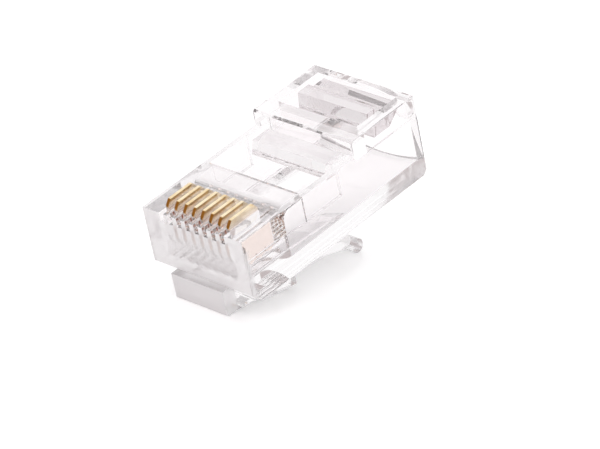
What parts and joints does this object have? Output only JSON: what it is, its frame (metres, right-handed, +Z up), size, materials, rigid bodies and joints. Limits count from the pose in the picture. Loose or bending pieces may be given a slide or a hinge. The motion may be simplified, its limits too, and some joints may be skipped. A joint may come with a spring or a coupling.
{
  "type": "modular network plug",
  "caption": "Clear modular network plug with gold contact blades, spring latch, open cable entry and two fold-down strain-relief bars, uncrimped, lying on its nose and latch tip.",
  "frame": {"origin": "floor level, at the middle of the bounding box", "axes": "+Z up, +Y towards the cable end, +X to the right seen from the front face; the plug lies pitched with its cable end raised"},
  "size_m": [0.0116, 0.0234, 0.0152],
  "materials": {
    "clear_plastic": "gloss",
    "gold_plate": "polished"
  },
  "bodies": {
    "body": {"housing": "clear_plastic"},
    "latch": {"latch_lever": "clear_plastic"},
    "conductor_clamp": {"conductor_bar": "clear_plastic"},
    "jacket_clamp": {"jacket_bar": "clear_plastic"},
    "contact_1_blade": {"contact_1": "gold_plate"},
    "contact_2_blade": {"contact_2": "gold_plate"},
    "contact_3_blade": {"contact_3": "gold_plate"},
    "contact_4_blade": {"contact_4": "gold_plate"},
    "contact_5_blade": {"contact_5": "gold_plate"},
    "contact_6_blade": {"contact_6": "gold_plate"},
    "contact_7_blade": {"contact_7": "gold_plate"},
    "contact_8_blade": {"contact_8": "gold_plate"}
  },
  "joints": [
    {"name": "latch_hinge", "type": "hinge", "parent": "body", "child": "latch", "pos_m": [0, -0.00704, 0.00108], "axis": [1, 0, 0], "range_deg": [0, 13], "stiffness_Nm_per_rad": 0.3},
    {"name": "conductor_bar_hinge", "type": "hinge", "parent": "body", "child": "conductor_clamp", "pos_m": [0, 0.00218, 0.01136], "axis": [1, 0, 0], "range_deg": [0, 32]},
    {"name": "jacket_bar_hinge", "type": "hinge", "parent": "body", "child": "jacket_clamp", "pos_m": [0, 0.00902, 0.01426], "axis": [1, 0, 0], "range_deg": [0, 30]},
    {"name": "contact_1_stroke", "type": "slide", "parent": "body", "child": "contact_1_blade", "axis": [0, 0.256, -0.9667], "range_m": [0, 0.00115]},
    {"name": "contact_2_stroke", "type": "slide", "parent": "body", "child": "contact_2_blade", "axis": [0, 0.256, -0.9667], "range_m": [0, 0.00115]},
    {"name": "contact_3_stroke", "type": "slide", "parent": "body", "child": "contact_3_blade", "axis": [0, 0.256, -0.9667], "range_m": [0, 0.00115]},
    {"name": "contact_4_stroke", "type": "slide", "parent": "body", "child": "contact_4_blade", "axis": [0, 0.256, -0.9667], "range_m": [0, 0.00115]},
    {"name": "contact_5_stroke", "type": "slide", "parent": "body", "child": "contact_5_blade", "axis": [0, 0.256, -0.9667], "range_m": [0, 0.00115]},
    {"name": "contact_6_stroke", "type": "slide", "parent": "body", "child": "contact_6_blade", "axis": [0, 0.256, -0.9667], "range_m": [0, 0.00115]},
    {"name": "contact_7_stroke", "type": "slide", "parent": "body", "child": "contact_7_blade", "axis": [0, 0.256, -0.9667], "range_m": [0, 0.00115]},
    {"name": "contact_8_stroke", "type": "slide", "parent": "body", "child": "contact_8_blade", "axis": [0, 0.256, -0.9667], "range_m": [0, 0.00115]}
  ]
}
